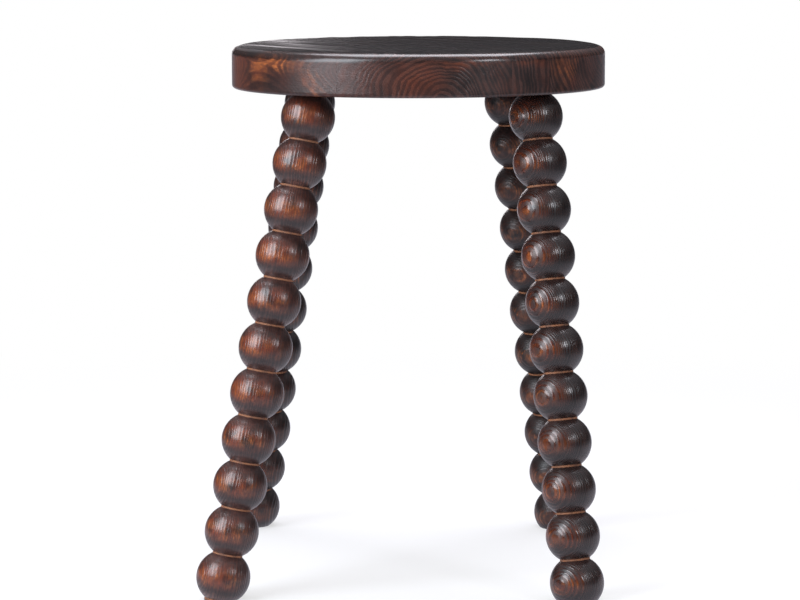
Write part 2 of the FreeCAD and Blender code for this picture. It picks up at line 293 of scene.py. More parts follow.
class StageLook(bpy.types.PropertyGroup):
    """The camera, the softboxes and the surroundings"""

    camera_place: position("Camera place", "Where the camera stands", (-0.00331, -2.53963, 0.5689))
    camera_pitch: angle("Camera pitch", "How far the camera looks down", 7.58)
    camera_roll: angle("Camera roll", "The camera's roll, anticlockwise", -0.15)
    lens: amount("Lens", "Focal length in millimetres", 132.59, unit="CAMERA")
    left_power: amount("Left softbox", "The power of the left softbox in watts", 50.0)
    right_power: amount("Right softbox", "The power of the right softbox in watts", 8.0)
    overhead_power: amount("Overhead softbox", "The power of the overhead softbox in watts", 34.0)
    window_power: amount("Window", "The power of the window behind on the left, in watts", 1.8)
    surroundings: amount("Surroundings", "The light of the white room overhead", 0.5)


# Node trees


class Flow:
    """A value that a node gives. Arithmetic with it adds the math nodes that work the result out."""

    def __init__(self, graph, socket):
        self.graph = graph
        self.socket = socket

    def __add__(self, other):
        return self.graph.calc("ADD", self, other)

    def __sub__(self, other):
        return self.graph.calc("SUBTRACT", self, other)

    def __rsub__(self, other):
        return self.graph.calc("SUBTRACT", other, self)

    def __mul__(self, other):
        return self.graph.calc("MULTIPLY", self, other)

    def __truediv__(self, other):
        return self.graph.calc("DIVIDE", self, other)

    __radd__ = __add__
    __rmul__ = __mul__


class Graph:
    """Adds nodes to a tree. It builds the same chain in a material and in Geometry Nodes."""

    def __init__(self, tree):
        self.tree = tree

    def feed(self, socket, value):
        """Link what a node gives to a socket, or give the socket a value."""
        if isinstance(value, Flow):
            self.tree.links.new(value.socket, socket)
        else:
            socket.default_value = value

    def node(self, kind, inputs=None, **settings):
        """A node with its settings made and its inputs, by name or number, fed."""
        node = self.tree.nodes.new(kind)
        for name, value in settings.items():
            setattr(node, name, value)
        for key, value in (inputs or {}).items():
            self.feed(node.inputs[key], value)
        return node

    def add(self, kind, inputs=None, output=0, **settings):
        """What a new node gives at one of its outputs, by name or number."""
        return Flow(self, self.node(kind, inputs, **settings).outputs[output])

    def step(self, kind, shape, inputs=None, **settings):
        """What a geometry node makes of a shape."""
        return self.add(f"GeometryNode{kind}", {"Geometry": shape, **(inputs or {})}, **settings)

    def calc(self, operation, *values, clamp=False):
        """A number worked out of one, two or three others."""
        return self.add("ShaderNodeMath", dict(enumerate(values)), operation=operation, use_clamp=clamp)

    def vector(self, operation, *values, output=0):
        """A vector worked out of others. Lengths and products are numbers at output 1."""
        return self.add("ShaderNodeVectorMath", dict(enumerate(values)), output, operation=operation)

    def scaled(self, vector, factor):
        """A vector made longer by a factor."""
        return self.add("ShaderNodeVectorMath", {0: vector, "Scale": factor}, operation="SCALE")

    def along(self, vector, way):
        """How far a vector reaches in one direction."""
        return self.vector("DOT_PRODUCT", vector, way, output=1)

    def ease(self, value, start, end, low=0.0, high=1.0):
        """Low up to the start, high from the end, and a smooth passage between."""
        inputs = {0: value, 1: start, 2: end, 3: low, 4: high}
        return self.add("ShaderNodeMapRange", inputs, interpolation_type="SMOOTHSTEP")

    def noise(self, place, scale=1.0, detail=2.0, roughness=0.5, output=0):
        """Soft noise: a number, or at output 1 a vector."""
        inputs = {"Vector": place, "Scale": scale, "Detail": detail, "Roughness": roughness}
        return self.add("ShaderNodeTexNoise", inputs, output)

    def blend(self, share, first, second):
        """One colour laid over another by a share."""
        return self.add("ShaderNodeMix", {0: share, 6: first, 7: second}, 2, data_type="RGBA")

    def between(self, share, first, second):
        """A number between two others by a share."""
        return self.add("ShaderNodeMix", {0: share, 2: first, 3: second}, data_type="FLOAT")

    def drawn_out(self, place, seed, across, along, detail=2.0, roughness=0.5):
        """Noise of a length across and a length along the fibres, in millimetres, moved on by the seed."""
        shrunk = self.vector("MULTIPLY", place, (1 / across, 1 / across, 1 / along))
        shift = self.add("ShaderNodeCombineXYZ", {0: seed, 1: seed * 1.7})
        return self.noise(self.vector("ADD", shrunk, shift), detail=detail, roughness=roughness)

    def split(self, vector):
        """The three parts of a vector."""
        return [Flow(self, part) for part in self.node("ShaderNodeSeparateXYZ", {0: vector}).outputs]


def ring_ridges(graph, log_place, ring, seed, reach):
    """How far each point stands up when rings round the log's Z axis are brushed, from 0 to 1."""
    x, y, _ = graph.split(log_place)
    flat = graph.calc("SQRT", x * x + y * y)
    wide_sway = graph.drawn_out(log_place, seed, 34, 160, detail=1.0)
    near_sway = graph.drawn_out(log_place, seed, 7, 45)
    near_reach = graph.calc("MINIMUM", ring * 0.85, 2.4)
    sway = (wide_sway - 0.5) * reach + (near_sway - 0.5) * near_reach
    # A slow swing of the count gives rows of narrow and of wide rings
    years = (flat + sway) / ring
    seasons = years + graph.calc("SINE", years * 0.9) * 0.45
    year = graph.calc("FLOOR", seasons)
    season = graph.calc("FRACT", seasons)
    chance = graph.add("ShaderNodeTexWhiteNoise", {"W": year + seed}, noise_dimensions="1D")
    start = chance * 0.25 + 0.22
    rise = graph.ease(season, start, start + 0.32)
    fall = graph.ease(season, 0.84, 1.0, 1.0, 0.0)
    strength = chance * 0.55 + 0.45
    vigour = graph.ease(graph.drawn_out(log_place, seed, 17, 60, detail=1.0), 0.3, 0.65, 0.25, 1.0)
    return rise * fall * (strength * vigour)


def new_tree(name, inputs):
    """An empty Geometry Nodes tree: its graph, its inputs by name and the socket for its result."""
    tree = bpy.data.node_groups.new(name, "GeometryNodeTree")
    tree.is_modifier = True
    tree.interface.new_socket(name="Geometry", in_out="INPUT", socket_type="NodeSocketGeometry")
    tree.interface.new_socket(name="Geometry", in_out="OUTPUT", socket_type="NodeSocketGeometry")
    for label, kind in inputs.items():
        tree.interface.new_socket(name=label, in_out="INPUT", socket_type=f"NodeSocket{kind}")
    graph = Graph(tree)
    given = tree.nodes.new("NodeGroupInput").outputs
    given = {label: Flow(graph, given[label]) for label in ("Geometry", *inputs)}
    return graph, given, tree.nodes.new("NodeGroupOutput").inputs[0]


def lathe_tree(name):
    """Turns a half profile, given as a row of points, round the Z axis."""
    kinds = {"Steps Round": "Int", "Profile Points": "Int", "Wood": "Material"}
    graph, given, result = new_tree(name, kinds)
    size = {"Size X": 1.0, "Size Y": 1.0}
    counts = {"Vertices X": given["Steps Round"] + 1.0, "Vertices Y": given["Profile Points"]}
    sheet = graph.add("GeometryNodeMeshGrid", {**size, **counts})
    place = graph.add("GeometryNodeInputPosition")
    x, y, _ = graph.split(place)
    row = graph.calc("ROUND", (y + 0.5) * (given["Profile Points"] - 1.0))
    turn = (x + 0.5) * math.tau
    sampled = {"Value": place, "Index": row}
    profile = graph.step("SampleIndex", given["Geometry"], sampled, data_type="FLOAT_VECTOR")
    point = graph.add("ShaderNodeVectorRotate", {"Vector": profile, "Angle": turn}, rotation_type="Z_AXIS")
    turned = graph.step("SetPosition", sheet, {"Position": point})
    closed = graph.step("MergeByDistance", turned, {"Distance": TOUCH})
    real = graph.step("RealizeInstances", closed)
    graph.feed(result, graph.step("SetMaterial", real, {"Material": given["Wood"]}))
    return graph.tree


def brushing_tree(name):
    """Stores each point's place in its piece and its log, in millimetres, and brushes out the soft wood."""
    kinds = {
        "Piece Turn": "Rotation",
        "Piece Shift": "Vector",
        "Log Turn": "Rotation",
        "Log Shift": "Vector",
        **dict.fromkeys(("Ring Spacing", "Seed", "Sway", "Depth", *NO_TOP), "Float"),
        "Wood": "Material",
        "Face Wood": "Material",
    }
    graph, given, result = new_tree(name, kinds)
    place = graph.add("GeometryNodeInputPosition")
    shape = given["Geometry"]
    stored = {}
    for label, frame_name in (("piece_mm", "Piece"), ("log_mm", "Log")):
        turning = {"Vector": place, "Rotation": given[f"{frame_name} Turn"]}
        turned = graph.add("FunctionNodeRotateVector", turning)
        moved = graph.vector("ADD", graph.scaled(turned, 1 / MM), given[f"{frame_name} Shift"])
        kept = {"Name": label, "Value": moved}
        shape = graph.step("StoreNamedAttribute", shape, kept, data_type="FLOAT_VECTOR", domain="POINT")
        reader = "GeometryNodeInputNamedAttribute"
        stored[label] = graph.add(reader, {"Name": label}, data_type="FLOAT_VECTOR")
    log_place, seat_place = stored["log_mm"], stored["piece_mm"]
    ridges = ring_ridges(graph, log_place, given["Ring Spacing"], given["Seed"], given["Sway"])
    # The upper edge of the seat is rubbed smooth
    height = graph.split(place)[2]
    bite = given["Depth"] * graph.ease(given["Face Height"] - height, 0.0035, 0.0085, 0.07, 1.0)
    normal = graph.add("GeometryNodeInputNormal")
    brushed_in = graph.scaled(normal, (ridges - 1.0) * bite)
    # The top is scraped in long shallow hollows along the grain, after the boards were glued up
    shrunk = (1 / SCRAPE_WIDTH, 1 / SCRAPE_LENGTH, 1 / SCRAPE_WIDTH)
    strokes = graph.vector("MULTIPLY_ADD", seat_place, shrunk, (5.0, 0.0, 0.0))
    hollow = graph.ease(graph.noise(strokes, detail=1.0), 0.25, 0.75) * given["Scraping"]
    below_top = given["Top Height"] - graph.split(seat_place)[2]
    hollow = hollow * graph.ease(below_top, 0.1, 1.8, 1.0, 0.0)
    scraped_down = graph.vector("MULTIPLY", (0.0, 0.0, -1.0), hollow)
    # The seat's upper edge is worn back unevenly, most at the front on the left
    outward = graph.vector("MULTIPLY", seat_place, (1, 1, 0))
    radius = graph.vector("LENGTH", outward, output=1)
    outward = graph.vector("NORMALIZE", outward)
    uneven = graph.ease(graph.noise(seat_place, scale=0.03, detail=1.0), 0.3, 0.7, 0.0, 0.35)
    toward = graph.along(outward, (math.cos(WORN_WAY), math.sin(WORN_WAY), 0))
    uneven = uneven + graph.ease(toward, 0.75, 0.97, 0.0, 0.5)
    out_there = graph.ease(given["Rim Radius"] - radius, 2.0, 9.0, 1.0, 0.0)
    up_there = graph.ease(below_top, 4.0, 9.0, 1.0, 0.0)
    back = graph.scaled(outward, out_there * up_there * uneven * (given["Edge Wear"] * -1.0))
    turn_back = graph.add("FunctionNodeInvertRotation", {"Rotation": given["Piece Turn"]})
    worn_back = graph.add("FunctionNodeRotateVector", {"Vector": back, "Rotation": turn_back})
    offset = graph.vector("ADD", graph.vector("ADD", brushed_in, scraped_down), worn_back)
    brushed = graph.step("SetPosition", shape, {"Offset": offset})
    real = graph.step("RealizeInstances", brushed)
    wooden = graph.step("SetMaterial", real, {"Material": given["Wood"]})
    facing_up = graph.calc("GREATER_THAN", graph.split(normal)[2], FACING_UP)
    facing = facing_up * graph.calc("GREATER_THAN", height, given["Face Height"])
    faced = graph.step("SetMaterial", wooden, {"Selection": facing, "Material": given["Face Wood"]})
    graph.feed(result, faced)
    return graph.tree


TREE_MAKERS = {"Lathe": lathe_tree, "Brushing": brushing_tree}


def shape_with(mesh, tree_name, values):
    """A mesh run through one of the Geometry Nodes trees with the given inputs, as a plain mesh."""
    tree = bpy.data.node_groups.get(tree_name) or TREE_MAKERS[tree_name](tree_name)
    carrier = bpy.data.objects.new(f"{mesh.name}_carrier", mesh)
    bpy.context.scene.collection.objects.link(carrier)
    modifier = carrier.modifiers.new(tree.name, "NODES")
    modifier.node_group = tree
    sockets = {item.name: item.identifier for item in tree.interface.items_tree if item.in_out == "INPUT"}
    for name, value in values.items():
        modifier[sockets[name]] = value
    graph = bpy.context.evaluated_depsgraph_get()
    made = bpy.data.meshes.new_from_object(
        carrier.evaluated_get(graph), preserve_all_data_layers=True, depsgraph=graph
    )
    carrier.modifiers.remove(modifier)
    bpy.data.objects.remove(carrier)
    if not made.polygons:
        raise RuntimeError(f"{tree.name} made no faces from {mesh.name}")
    return made


# Frames and profiles


def fineness(pair):
    return pair[0]


def underside(sizes):
    """The height of the seat's underside above the floor."""
    return sizes.height - sizes.seat_thickness


def seat_frame(sizes):
    """The middle of the seat's underside, with X across the boards and Y along their grain."""
    shift = Matrix.Translation((*sizes.seat_shift, underside(sizes)))
    return shift @ Matrix.Rotation(sizes.grain_angle, 4, "Z")


def leg_frame(sizes, legs, leg):
    """The middle of a leg's mortise in the seat's underside, with Z up along the leg."""
    bore, lean, splay = (math.radians(degrees) for degrees in LEGS[leg])
    reach = sizes.seat_radius - legs.mortise_inset
    x = sizes.seat_shift[0] + reach * math.cos(bore)
    y = sizes.seat_shift[1] + reach * math.sin(bore)
    tilt = Matrix.Rotation(lean, 4, "Z") @ Matrix.Rotation(-splay, 4, "Y")
    return Matrix.Translation((x, y, underside(sizes))) @ tilt


def arc_points(x, z, radius, start, end, steps):
    """Points along an arc, both ends among them."""
    turns = [start + (end - start) * step / steps for step in range(steps + 1)]
    return [(x + radius * math.cos(turn), z + radius * math.sin(turn)) for turn in turns]


def run_points(start, end, steps):
    """Points along a straight run, without its first."""
    return [
        (start[0] + (end[0] - start[0]) * step / steps, start[1] + (end[1] - start[1]) * step / steps)
        for step in range(1, steps + 1)
    ]


def leg_profile(sizes, legs, splay, bead_steps):
    """The half profile of a leg from below the floor to above the seat's underside."""
    half_bead = (legs.bead_pitch - legs.neck_band) / 2
    bulge = legs.bead_radius - legs.neck_radius
    curve = (half_bead**2 + bulge**2) / (2 * bulge)
    spread = math.asin(half_bead / curve)
    centre = legs.bead_radius - curve
    first = -legs.bead_pitch / 2 - legs.collar_rise
    lowest = first - (legs.beads - 1) * legs.bead_pitch
    foot = -underside(sizes) / math.cos(splay) - OVERRUN
    points = [(legs.neck_radius, foot)]
    foot_top = (legs.neck_radius, lowest - half_bead - legs.neck_band / 2)
    points += run_points(points[0], foot_top, FOOT_STEPS)
    for bead in range(legs.beads):
        middle = lowest + bead * legs.bead_pitch
        points += arc_points(centre, middle, curve, -spread, spread, bead_steps)
    points.append((legs.neck_radius, OVERRUN))
    return points


def seat_profile(sizes, step):
    """The half profile of the seat from the flat of its underside round the rim to the flat of its top."""
    radius = sizes.seat_radius
    low = sizes.lower_edge_radius
    top = sizes.seat_thickness
    fall = sizes.edge_radius + sizes.crown_drop
    turn_in = sizes.edge_radius + sizes.crown_run
    crown_turn = 2 * math.atan2(sizes.crown_drop, sizes.crown_run)
    crown_radius = sizes.edge_radius + sizes.crown_run / math.sin(crown_turn)
    quarter = math.pi / 2
    edge_end = quarter - crown_turn
    edge = (radius - sizes.edge_radius, top - fall, sizes.edge_radius)
    crown = (radius - turn_in, top - crown_radius, crown_radius)
    points = arc_points(radius - low, low, low, -quarter, 0, LOWER_EDGE_STEPS)
    points += run_points((radius, low), (radius, top - fall), round((top - fall - low) / step))
    points += arc_points(*edge, 0, edge_end, UPPER_EDGE_STEPS)[1:]
    points += arc_points(*crown, edge_end, quarter, CROWN_STEPS)[1:]
    return points


def profile_mesh(name, points):
    """A row of points in the XZ plane as a mesh."""
    mesh = bpy.data.meshes.new(name)
    edges = [(number, number + 1) for number in range(len(points) - 1)]
    mesh.from_pydata([(x, 0, z) for x, z in points], edges, [])
    return mesh


def trim(shape, point, outward):
    """Cut a closed or open shell at a plane, drop what lies outward and close the cut with a flat face."""
    cut = bmesh.ops.bisect_plane(
        shape,
        geom=shape.verts[:] + shape.edges[:] + shape.faces[:],
        plane_co=point,
        plane_no=outward,
        clear_outer=True,
    )["geom_cut"]
    edges = [item for item in cut if isinstance(item, bmesh.types.BMEdge)]
    bmesh.ops.edgeloop_fill(shape, edges=edges)


def stow_shape(shape, name):
    """A bmesh as a new mesh, its faces turned outwards."""
    bmesh.ops.recalc_face_normals(shape, faces=shape.faces[:])
    mesh = bpy.data.meshes.new(name)
    shape.to_mesh(mesh)
    shape.free()
    return mesh


def link_object(name, data):
    """A new object in the scene."""
    item = bpy.data.objects.new(name, data)
    bpy.context.scene.collection.objects.link(item)
    return item


def show_piece(name, mesh, node):
    """Put a finished mesh in the scene in place of its CAD node."""
    mesh.polygons.foreach_set("use_smooth", [True] * len(mesh.polygons))
    mesh.set_sharp_from_angle(angle=SHARP_TURN)
    mesh.name = name
    piece = link_object(name, mesh)
    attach(piece, "root")
    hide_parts(node)
    return piece


# Materials


def start_material(name):
    """A material with only a surface shader, and the graph that adds to it."""
    material = bpy.data.materials.new(name)
    material.use_nodes = True
    tree = material.node_tree
    tree.nodes.clear()
    surface = tree.nodes.new("ShaderNodeBsdfPrincipled")
    output = tree.nodes.new("ShaderNodeOutputMaterial")
    tree.links.new(surface.outputs[0], output.inputs[0])
    return material, Graph(tree), surface


def start_wood(name, log):
    """A material, its graph and surface, a point's place in its log and in its piece, and its rings."""
    material, graph, surface = start_material(name)
    log_place, piece_place = (
        graph.add("ShaderNodeAttribute", output="Vector", attribute_name=stored)
        for stored in ("log_mm", "piece_mm")
    )
    ridges = ring_ridges(graph, log_place, log["ring"], log["seed"], log["sway"])
    return material, graph, surface, log_place, piece_place, ridges


def patches(graph, place, seed, across, along, start, end):
    """Soft patches, drawn out along the fibres, of one kind of wear."""
    return graph.ease(graph.drawn_out(place, seed, across, along, detail=3.0), start, end)


def stained_colour(graph, finish, log_place, ridges, seed, depth_of_tone):
    """The stain: near black in the brushed-out hollows, browner on the ridges, with streaks and blotches."""
    fibre = graph.drawn_out(log_place, seed, 1.15, 22, detail=3.0, roughness=0.6)
    blotch = graph.drawn_out(log_place, seed + 2, 16, 50)
    share = graph.calc("ADD", ridges * 0.7, graph.ease(fibre, 0.35, 0.7) * 0.35, clamp=True)
    stain = graph.blend(share, (*finish.hollow, 1), (*finish.ridge, 1))
    return graph.scaled(stain, graph.ease(blotch, 0.3, 0.7, 0.65, 1.4) * depth_of_tone), fibre


def lay_wear(graph, finish, stain, warm, orange):
    """Thin the stain to red-brown, and rub it through to orange wood, by two shares."""
    stain = graph.blend(warm, stain, (*finish.warm, 1))
    return graph.blend(orange, stain, (*finish.rubbed, 1))


def finish_surface(graph, surface, stain, figure, relief, rough, gloss):
    """Colour, satin and brushed relief on the surface shader. The relief is the figure's height in metres."""
    graph.feed(surface.inputs["Base Color"], stain)
    graph.feed(surface.inputs["Roughness"], rough)
    surface.inputs["Specular IOR Level"].default_value = gloss
    bump = graph.add("ShaderNodeBump", {"Height": figure * relief, "Distance": 1.0, "Strength": 1.0})
    graph.feed(surface.inputs["Normal"], bump)


def leg_wood(finish, legs, leg, lean):
    """A leg's stain, worn round the middle of each bead and rubbed bare in the necks."""
    log = LEG_LOGS[leg]
    wear = LEG_WEAR[leg]
    seed = log["seed"]
    ringed = wear["ringed"]
    material, graph, surface, log_place, piece_place, ridges = start_wood(f"Stained beads {leg}", log)
    # How far a point is above the middle of its bead along the leg, in millimetres
    pitch = legs.bead_pitch / MM
    count = (graph.split(piece_place)[2] + legs.collar_rise / MM) / pitch
    off = (graph.calc("FRACT", count) - 0.5) * pitch
    from_middle = graph.calc("ABSOLUTE", off)
    # Painted fill light: the stain is lightened up to three times beside the necks, to lift the shade that
    # falls there between the beads
    tone = graph.ease(from_middle, 10.0, 18.0, 1.0, 3.0) * wear["tone"]
    stain, fibre = stained_colour(graph, finish, log_place, ridges, seed, tone)
    # How far a point faces the leg's worn side
    way = math.radians(wear["way"] - lean)
    flat = graph.vector("NORMALIZE", graph.vector("MULTIPLY", piece_place, (1, 1, 0)))
    side = graph.ease(graph.along(flat, (math.cos(way), math.sin(way), 0)), 0.35, 0.95, wear["all_round"])
    # Red-brown where the stain is thin, in a broad band round the bead
    broad = graph.ease(off, -12.0, -2.0) * graph.ease(off, 6.0, 18.0, 1.0, 0.0) * side
    thin = patches(graph, piece_place, seed + 5, 15, 15, 0.25, 0.6)
    grip = ridges * (1.25 * ringed) + (1.0 - ringed)
    streak = graph.ease(fibre, 0.36, 0.64)
    warm = broad * thin * (grip * wear["warm"])
    warm = graph.calc("MULTIPLY", warm, streak * 0.55 + 0.45, clamp=True)
    # Orange in islands close to the middle
    narrow = graph.ease(from_middle, 2.0, 10.0, 1.0, 0.0) * side
    speckle = patches(graph, log_place, seed + 9, 1.1, 4.0, 0.42, 0.62)
    island = patches(graph, piece_place, seed + 12, 9, 9, 0.38, 0.62)
    spots = island * speckle * (1.0 - ringed) + island * ringed
    orange = narrow * spots * (grip * wear["orange"])
    orange = graph.calc("MULTIPLY", orange, ridges * 0.6 + 0.5, clamp=True)
    stain = lay_wear(graph, finish, stain, warm, orange)
    # The necks are turned bare, and the stain has crept over them in places
    half_bead = (legs.bead_pitch - legs.neck_band) / 2 / MM
    neck = graph.ease(from_middle, half_bead - 0.15, half_bead + 0.1)
    raw = neck * graph.ease(graph.drawn_out(piece_place, seed + 3, 6, 6), 0.3, 0.6, 0.45, 1.0)
    stain = graph.blend(raw * 0.85, stain, (*finish.neck, 1))
    # The brush bites more or less, and little beside the necks
    brushed = patches(graph, piece_place, seed + 4, 12, 12, 0.3, 0.65)
    relief = (brushed * 0.7 + 0.6) * (log["marks"] * MM)
    relief = relief * graph.ease(from_middle, 13.0, 18.0, 1.0, 0.2)
    grain = graph.drawn_out(log_place, seed + 1, 2.4, 50, detail=1.0) * log["grain"]
    satin = graph.ease(ridges, 0.0, 0.14, log["rough"] + log["dull"], log["rough"])
    rough = graph.calc("MAXIMUM", satin, graph.ease(raw, 0.0, 0.5, 0.0, 0.75))
    finish_surface(graph, surface, stain, ridges + grain, relief, rough, log["gloss"])
    return material


def rim_patches(graph, node, piece_place):
    """The shares of red-brown and of orange that a board's rubbed patches give."""
    warm, orange = 0.0, 0.0
    drift = graph.vector("SUBTRACT", graph.noise(piece_place, scale=0.07, output=1), (0.5, 0.5, 0.5))
    drifted = graph.vector("ADD", piece_place, graph.vector("MULTIPLY", drift, (20, 20, 18)))
    for middle, reach, warm_share, orange_share in RUBBED_PATCHES[node]:
        away = graph.vector("DIVIDE", graph.vector("SUBTRACT", drifted, middle), reach)
        patch = graph.ease(graph.vector("LENGTH", away, output=1), 0.0, 1.1, 1.0, 0.0)
        warm = graph.calc("MAXIMUM", patch * warm_share, warm)
        orange = graph.calc("MAXIMUM", patch * orange_share, orange)
    return warm, orange


def board_wood(finish, sizes, node):
    """A seat board's stain on its rim, rubbed in patches."""
    board = BOARDS[node]
    seed = board["seed"]
    material, graph, surface, log_place, piece_place, lines = start_wood(f"Stained rim {node}", board)
    across, _, up = graph.split(piece_place)
    # How far a point is above the start of the upper edge's rounding, in millimetres
    over_edge = up - (sizes.seat_thickness - sizes.edge_radius - sizes.crown_drop) / MM
    # Only narrow lines between the rings stay dark, and some boards' ends are worn plain
    ridges, shown = lines, graph.ease(lines, 0.0, 0.3, 0.2, 0.9)
    if "plain_to" in board:
        plain_to = board["plain_to"]
        ridges = ridges * graph.ease(across, plain_to - 20.0, plain_to, 0.3, 1.0)
        shown = shown * graph.ease(across, plain_to - 20.0, plain_to, 0.45, 1.0)
    tone = graph.ease(shown, 0.0, 0.8, 0.72, 1.12) * board["tone"]
    # The last of the left end is darker and duller at its upper edge
    left_end = graph.ease(graph.along(piece_place, LEFT_END_WAY), 128.0, 148.0)
    tone = tone * (1.0 - left_end * graph.ease(over_edge, -1.0, 1.5, 0.0, 0.6))
    stain, fibre = stained_colour(graph, finish, log_place, shown, seed, tone)
    # The upper edge keeps its dark stain, down to a wavering line
    waver = graph.noise(piece_place, scale=0.07) * 7.0
    kept = graph.ease(over_edge + waver, 2.6, 4.2, 1.0, 0.12)
    warm, orange = (share * kept for share in rim_patches(graph, node, piece_place))
    grip = shown * 0.4 + 0.4
    thin = graph.ease(graph.drawn_out(piece_place, seed + 5, 12, 12), 0.25, 0.6, 0.5, 1.0)
    stray = patches(graph, piece_place, seed + 7, 18, 18, 0.45, 0.8) * 0.3
    warm = graph.calc("MULTIPLY", graph.calc("MAXIMUM", warm * thin, stray), grip, clamp=True)
    speckle = graph.ease(graph.drawn_out(log_place, seed + 9, 2.5, 9), 0.35, 0.6, 0.3, 1.0)
    streaks = graph.ease(lines + fibre * 0.4, 0.2, 0.7, 0.22, 0.95)
    orange = graph.calc("MULTIPLY", orange * speckle, streaks, clamp=True)
    stain = lay_wear(graph, finish, stain, warm, orange)
    # The upper edge is rubbed smooth, and elsewhere the brushing bites more or less
    smooth = graph.ease(over_edge, -2.0, 2.0, 1.0, 0.14)
    bite = graph.ease(graph.drawn_out(piece_place, seed + 4, 20, 20), 0.35, 0.62, 0.25, 1.0)
    relief = smooth * bite * (finish.seat_relief * 1.5)
    rough = graph.ease(over_edge, -2.0, 2.0, 0.36, 0.25)
    rough = rough + left_end * graph.ease(over_edge, 4.1, 5.7, 0.0, 0.5)
    finish_surface(graph, surface, stain, ridges + fibre * 1.3, relief, rough, 0.65)
    return material


def top_wood(finish, node):
    """The seat's top: the same stain, dull and nearly black."""
    board = BOARDS[node]
    seed = board["seed"]
    material, graph, surface, log_place, piece_place, ridges = start_wood(f"Stained top {node}", board)
    stain, fibre = stained_colour(graph, finish, log_place, ridges, seed, 0.22)
    streak = graph.drawn_out(log_place, seed + 6, 8, 180, detail=1.0)
    rough = graph.ease(streak, 0.42, 0.58, board["top_rough"], 0.6)
    figure = ridges * 0.3 + streak * 2.2 + fibre * 0.7
    # The left half was scraped harder
    across = graph.split(piece_place)[0]
    relief = graph.ease(across, -60.0, 40.0, 3 * finish.seat_relief, 1.2 * finish.seat_relief)
    finish_surface(graph, surface, stain, figure, relief, rough, 0.08)
    return material


def bare_wood(finish):
    """Planed hardwood with fine pores, for the wedges and the dowels."""
    material, graph, surface = start_material("Bare hardwood")
    place = graph.scaled(graph.add("ShaderNodeTexCoord", output="Object"), 1 / MM)
    grain = graph.add("ShaderNodeMapping", {"Vector": place, "Rotation": (0, 0, math.radians(-35))})
    streak = graph.noise(graph.vector("MULTIPLY", grain, (0.06, 1.4, 1.4)), detail=3.0)
    pore = graph.noise(graph.vector("MULTIPLY", grain, (0.25, 4.0, 4.0)), detail=1.0)
    light, shaded, dark = ((*(share * part for part in finish.bare), 1) for share in (1, 0.72, 0.35))
    wood = graph.blend(graph.ease(streak, 0.35, 0.7), light, shaded)
    wood = graph.blend(graph.ease(pore, 0.62, 0.74, 0.0, 0.5), wood, dark)
    rough = graph.ease(streak, 0.3, 0.7, 0.5, 0.65)
    finish_surface(graph, surface, wood, streak, 0.08 * MM, rough, 0.5)
    return material


# Operators


def brush(mesh, piece_frame, log_frame, log, depth, wood, top=None):
    """Brush a mesh that stands in its place in the frame. A seat board has a top with inputs of its own."""
    values = {"Ring Spacing": log["ring"], "Seed": log["seed"], "Sway": log["sway"], "Depth": depth}
    for name, stands in (("Piece", piece_frame), ("Log", log_frame)):
        back = stands.inverted()
        values[f"{name} Turn"] = back.to_euler()
        values[f"{name} Shift"] = back.translation / MM
    values.update({"Wood": wood, "Face Wood": wood, **(top or NO_TOP)})
    return shape_with(mesh, "Brushing", values)


class STOOL_OT_turn_legs(bpy.types.Operator):
    """Turn, trim and brush the four legs"""

    bl_idname = "stool.turn_legs"
    bl_label = "Turn the legs"

    def execute(self, context):
        scene = context.scene
        sizes, legs, finish = scene.stool_sizes, scene.stool_legs, scene.stool_finish
        for leg, (_, lean, splay) in LEGS.items():
            wood = leg_wood(finish, legs, leg, lean)
            stands = leg_frame(sizes, legs, leg)
            points = leg_profile(sizes, legs, math.radians(splay), fineness(BEAD_STEPS))
            values = {"Steps Round": fineness(LEG_ROUND), "Profile Points": len(points), "Wood": wood}
            turned = shape_with(profile_mesh(f"{leg}_profile", points), "Lathe", values)
            shape = bmesh.new()
            shape.from_mesh(turned)
            shape.transform(stands)
            trim(shape, (0, 0, 0), (0, 0, -1))
            trim(shape, (0, 0, underside(sizes)), (0, 0, 1))
            self.add_tenon(shape, stands, legs)
            log = LEG_LOGS[leg]
            log_frame = (
                stands
                @ Matrix.Rotation(math.radians(log["pith_way"] - lean), 4, "Z")
                @ Matrix.Translation((log["pith_off"] * MM, 0, -PITH_DEPTH))
                @ Matrix.Rotation(math.radians(log["tilt"]), 4, "X")
            )
            coarse = {**log, "ring": max(log["ring"], CLOSEST_RINGS)}
            shape = stow_shape(shape, f"{leg}_shape")
            mesh = brush(shape, stands, log_frame, coarse, finish.leg_relief, wood)
            show_piece(f"leg_{leg}", mesh, f"{leg}_leg")
        return {"FINISHED"}

    def add_tenon(self, shape, stands, legs):
        """The round tenon that stands in the seat."""
        made = bmesh.ops.create_cone(
            shape,
            cap_ends=True,
            segments=TENON_SIDES,
            radius1=legs.tenon_radius,
            radius2=legs.tenon_radius,
            depth=legs.tenon_root + legs.tenon_length,
            matrix=stands @ Matrix.Translation((0, 0, (legs.tenon_length - legs.tenon_root) / 2)),
        )
        # The ends are the only faces with more than four corners
        edges = {edge for corner in made["verts"] for edge in corner.link_edges}
        rims = [edge for edge in edges if max(len(face.verts) for face in edge.link_faces) > 4]
        bmesh.ops.bevel(shape, geom=rims, offset=legs.tenon_chamfer, segments=1, affect="EDGES")


